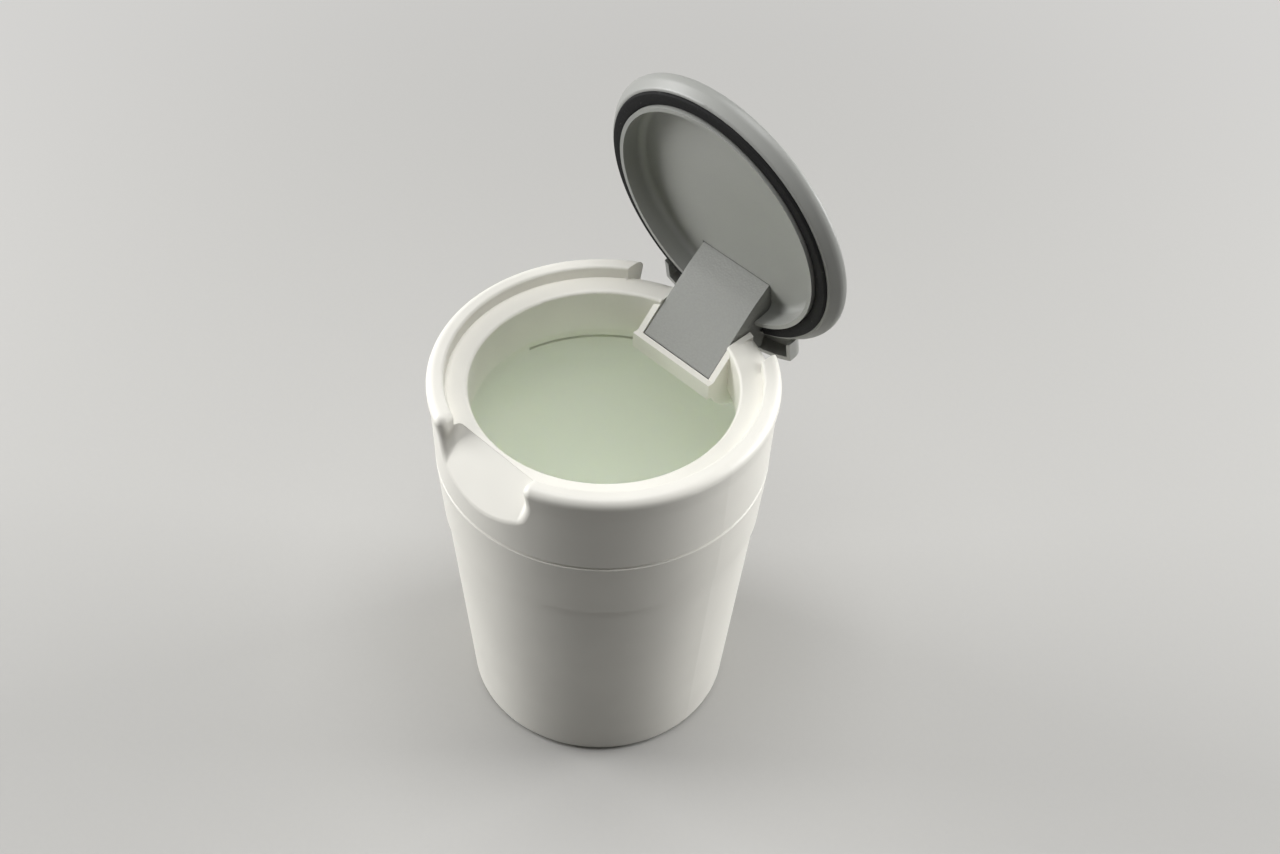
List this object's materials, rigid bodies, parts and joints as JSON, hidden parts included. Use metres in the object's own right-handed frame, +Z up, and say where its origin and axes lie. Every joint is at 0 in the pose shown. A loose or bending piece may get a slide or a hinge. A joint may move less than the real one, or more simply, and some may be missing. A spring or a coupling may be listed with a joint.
{
  "type": "cup holder storage bin",
  "caption": "Small tapered storage bin for a car's cup holder, with a collar clipped on it, a finger notch and a flip lid with a rubber seal.",
  "frame": {"origin": "middle of the cup's base, on the cup's axis, at the level that it stands on", "axes": "+Z up along the cup's axis, +Y from the axis to the hinge, finger notch at -Y, +X along the hinge pin"},
  "size_m": [0.086, 0.0921, 0.1734],
  "materials": {
    "white_plastic": "fine moulded satin white",
    "grey_plastic": "smooth satin grey",
    "block_plastic": "spark-eroded grain, grey",
    "seal_rubber": "matt black moulded rubber",
    "steel": "drawn bright steel"
  },
  "bodies": {
    "bin": {"cup": "white_plastic", "collar": "white_plastic", "hinge_pin": "steel"},
    "lid": {"lid_tray": "grey_plastic", "lid_cover": "grey_plastic", "lid_gasket": "seal_rubber", "hinge_block": "block_plastic"}
  },
  "joints": [
    {"name": "lid_hinge", "type": "hinge", "parent": "bin", "child": "lid", "pos_m": [0, 0.0364, 0.0982], "axis": [1, 0, 0], "range_deg": [0, 80]}
  ]
}
